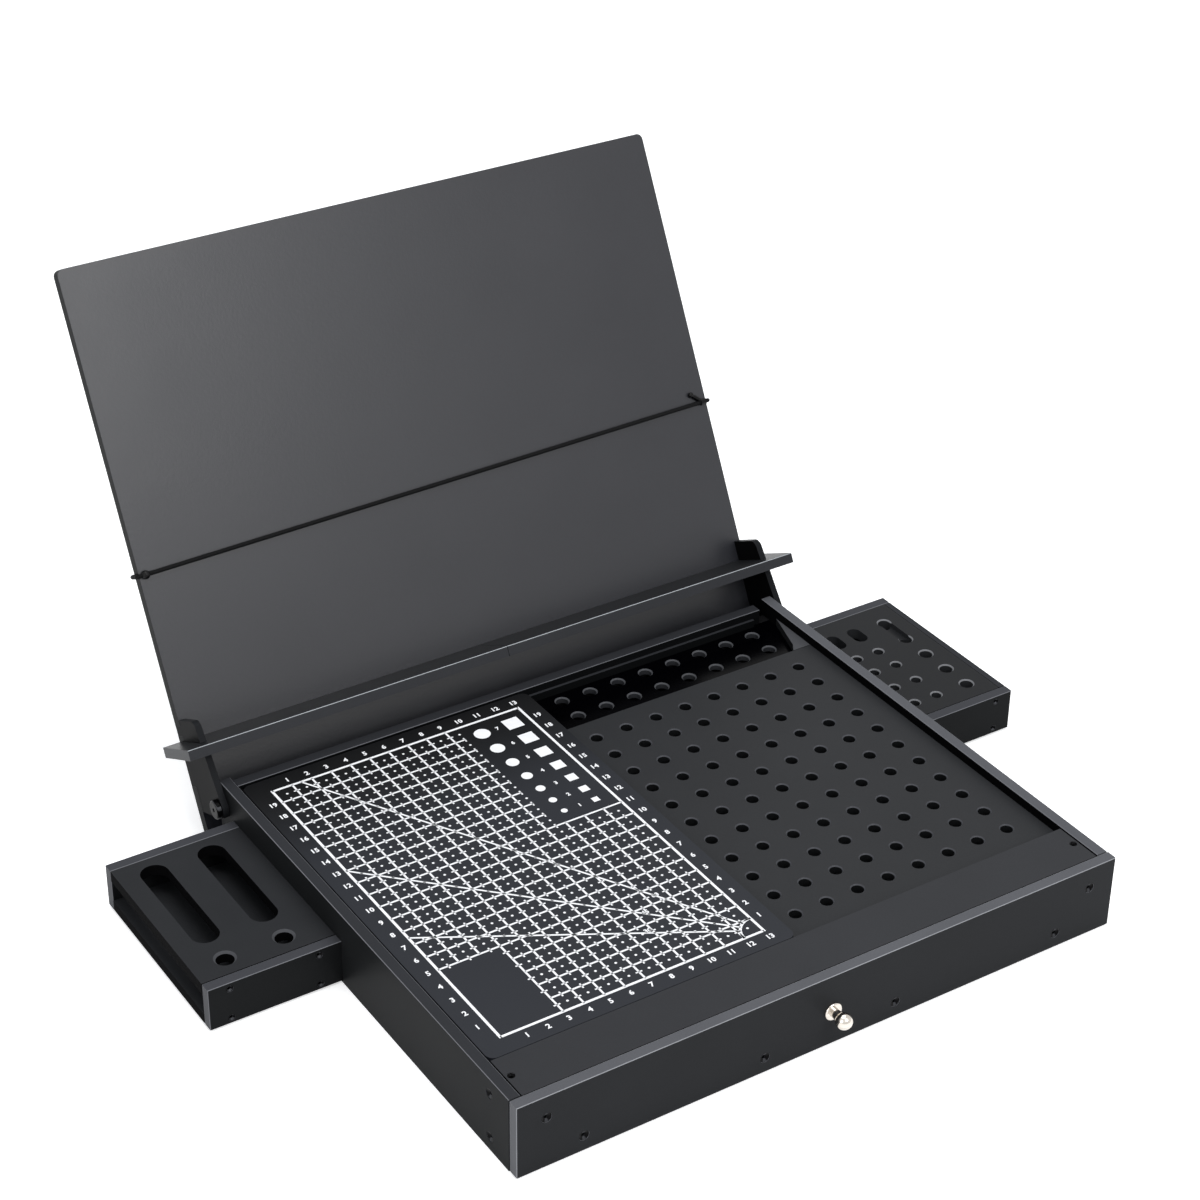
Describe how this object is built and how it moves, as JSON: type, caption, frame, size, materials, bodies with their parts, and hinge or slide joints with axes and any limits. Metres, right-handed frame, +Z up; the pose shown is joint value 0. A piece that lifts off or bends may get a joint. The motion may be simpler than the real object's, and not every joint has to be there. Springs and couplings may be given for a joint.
{
  "type": "hobby workstation organizer",
  "caption": "Low black work box with a cutting mat, perforated plate, drawer, pull-out side trays and a tilting reading board held by an elastic cord.",
  "frame": {"origin": "middle of the box's underside, on the surface it stands on", "axes": "+X to the user's right, +Y to the rear, +Z up"},
  "size_m": [0.434, 0.4074, 0.24],
  "materials": {
    "black_panel": "satin black",
    "plate_satin": "satin black",
    "board_satin": "satin dark grey",
    "mat_rubber": "matt",
    "knob_metal": "polished",
    "pin_metal": "black satin",
    "black_screws": "black oxide",
    "elastic": "woven",
    "cord_ends": "gloss"
  },
  "bodies": {
    "box": {"side_panel_left": "black_panel", "side_panel_right": "black_panel", "base_bottom": "black_panel", "rear_panel": "black_panel", "rear_rail": "black_panel", "corner_block_left": "black_panel", "corner_block_right": "black_panel", "drawer_guide_left": "black_panel", "drawer_guide_right": "black_panel", "deck_strip": "black_panel", "deck_ledger": "black_panel", "centre_beam": "black_panel", "bay_wall": "black_panel", "tray_guide": "black_panel", "mat_support": "black_panel", "cutting_mat": "mat_rubber", "perforated_plate": "plate_satin", "tool_tier": "plate_satin", "plate_wedge": "black_panel", "side_panel_screws": "black_screws", "deck_screws": "black_screws", "pivot_pin_left": "pin_metal", "pivot_pin_right": "pin_metal", "rear_stops": "black_panel", "rear_stop_screws": "black_screws"},
    "drawer": {"drawer_front": "black_panel", "drawer_wall_left": "black_panel", "drawer_wall_right": "black_panel", "drawer_floor": "black_panel", "drawer_back": "black_panel", "drawer_knob": "knob_metal", "knob_screw": "black_screws", "drawer_front_screws": "black_screws"},
    "tray_left": {"tray_left_top": "black_panel", "tray_left_floor": "black_panel", "tray_left_front": "black_panel", "tray_left_rear": "black_panel", "tray_left_stop": "black_panel", "tray_left_screws": "black_screws"},
    "tray_right": {"tray_right_top": "black_panel", "tray_right_floor": "black_panel", "tray_right_front": "black_panel", "tray_right_rear": "black_panel", "tray_right_end": "black_panel", "tray_right_stop": "black_panel", "tray_right_screws": "black_screws"},
    "stand": {"reading_board": "board_satin", "stand_arm_left": "black_panel", "stand_arm_right": "black_panel", "cheek_left": "black_panel", "cheek_right": "black_panel", "elastic_cord": "elastic", "cord_bead": "cord_ends", "cord_toggle": "cord_ends"},
    "ledge_left": {"ledge_left": "black_panel"},
    "ledge_right": {"ledge_right": "black_panel"}
  },
  "joints": [
    {"name": "drawer_slide", "type": "slide", "parent": "box", "child": "drawer", "axis": [0, -1, 0], "range_m": [0, 0.105]},
    {"name": "tray_left_slide", "type": "slide", "parent": "box", "child": "tray_left", "axis": [1, 0, 0], "range_m": [0, 0.062]},
    {"name": "tray_right_slide", "type": "slide", "parent": "box", "child": "tray_right", "axis": [-1, 0, 0], "range_m": [0, 0.062]},
    {"name": "stand_fold", "type": "hinge", "parent": "box", "child": "stand", "pos_m": [0, 0.125, 0.026], "axis": [1, 0, 0], "range_deg": [0, 75]},
    {"name": "ledge_left_slide", "type": "slide", "parent": "stand", "child": "ledge_left", "axis": [-1, 0, 0], "range_m": [0, 0.11]},
    {"name": "ledge_right_slide", "type": "slide", "parent": "stand", "child": "ledge_right", "axis": [1, 0, 0], "range_m": [0, 0.11]}
  ]
}
